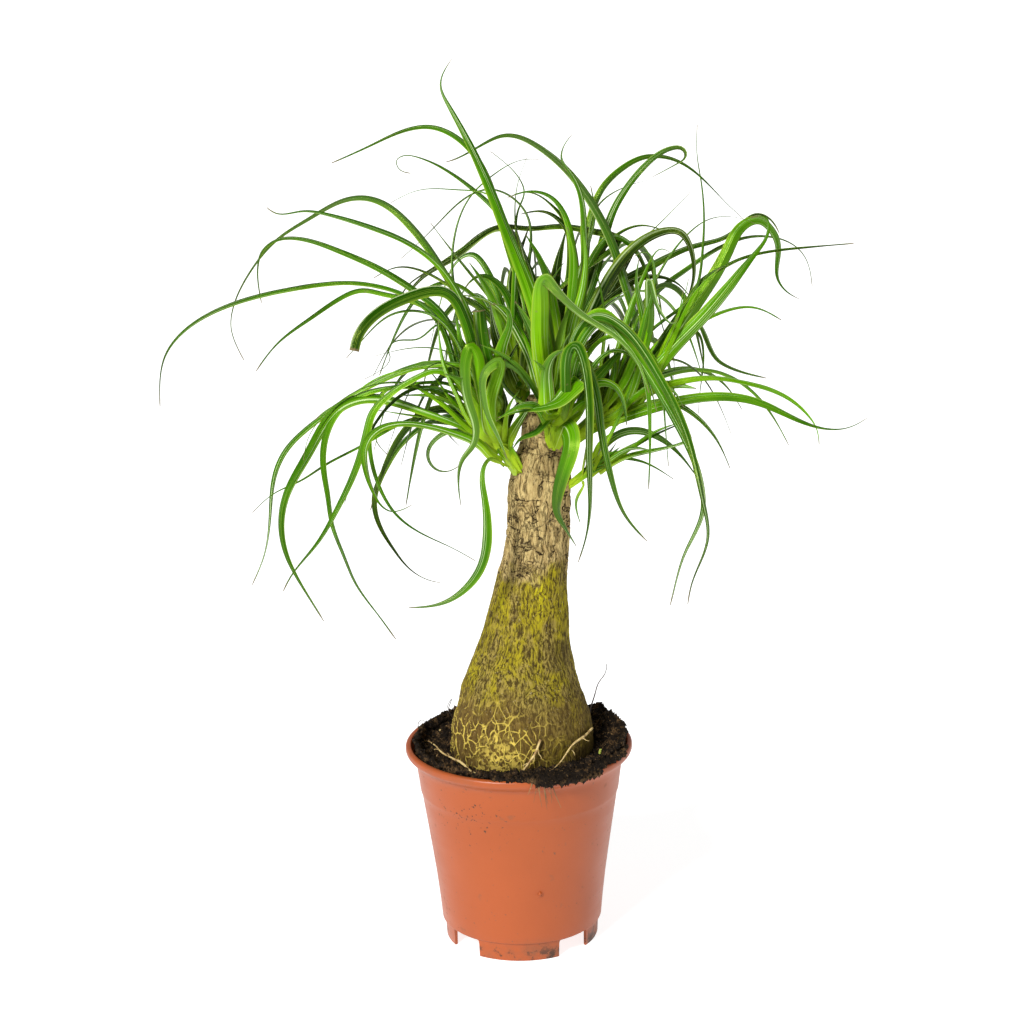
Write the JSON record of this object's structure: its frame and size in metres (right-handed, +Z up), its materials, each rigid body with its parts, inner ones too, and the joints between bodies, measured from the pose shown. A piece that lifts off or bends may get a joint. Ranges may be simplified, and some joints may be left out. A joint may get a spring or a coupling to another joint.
{
  "type": "potted ponytail palm",
  "caption": "Ponytail palm with a swollen, bark-covered trunk and tufts of long arching strap leaves, growing in a tapered plastic nursery pot filled with potting soil.",
  "frame": {"origin": "centre of the pot's foot, on the surface that the pot stands on", "axes": "+Z up along the pot's axis; -Y is the front, the side with the widest foot tab; +X is to the right seen from the front"},
  "size_m": [0.4144, 0.3028, 0.5453],
  "materials": {
    "pot": "satin",
    "soil": "matte",
    "trunk": "matte",
    "root": "matte",
    "shoot": "satin",
    "leaf": "satin"
  },
  "bodies": {
    "root": {"back_left_leaf_crook": "leaf", "back_left_leaf_dark": "leaf", "back_left_leaf_high": "leaf", "back_left_leaf_rear": "leaf", "back_left_leaf_rear_middle": "leaf", "back_left_shoot": "shoot", "back_right_leaf_arch": "leaf", "back_right_leaf_dark": "leaf", "back_right_leaf_erect": "leaf", "back_right_leaf_folded": "leaf", "back_right_leaf_long": "leaf", "back_right_leaf_rear": "leaf", "back_right_leaf_rear_middle": "leaf", "back_right_shoot": "shoot", "front_leaf_apron": "leaf", "front_leaf_arching": "leaf", "front_leaf_draped": "leaf", "front_leaf_hanging": "leaf", "front_leaf_kinked": "leaf", "front_leaf_short": "leaf", "front_leaf_sweeping": "leaf", "front_leaf_tallest": "leaf", "front_leaf_yellow_tip": "leaf", "front_shoot": "shoot", "left_leaf_arch": "leaf", "left_leaf_broad": "leaf", "left_leaf_curled": "leaf", "left_leaf_dark": "leaf", "left_leaf_drooping": "leaf", "left_leaf_falling": "leaf", "left_leaf_folded": "leaf", "left_leaf_hanging": "leaf", "left_leaf_hook": "leaf", "left_leaf_long": "leaf", "left_leaf_outer": "leaf", "left_leaf_trimmed": "leaf", "left_leaf_upswept": "leaf", "left_shoot": "shoot", "pot": "pot", "right_leaf_broad_lower": "leaf", "right_leaf_broad_upper": "leaf", "right_leaf_far": "leaf", "right_leaf_high_arch": "leaf", "right_leaf_pale": "leaf", "right_leaf_reaching": "leaf", "right_leaf_spur": "leaf", "right_leaf_upright": "leaf", "right_low_leaf_arch": "leaf", "right_low_leaf_rising": "leaf", "right_low_leaf_straight": "leaf", "right_low_leaf_thin": "leaf", "right_low_shoot": "shoot", "right_shoot": "shoot", "root_front": "root", "root_left": "root", "root_rear": "root", "root_right": "root", "soil": "soil", "trunk": "trunk"}
  },
  "joints": []
}
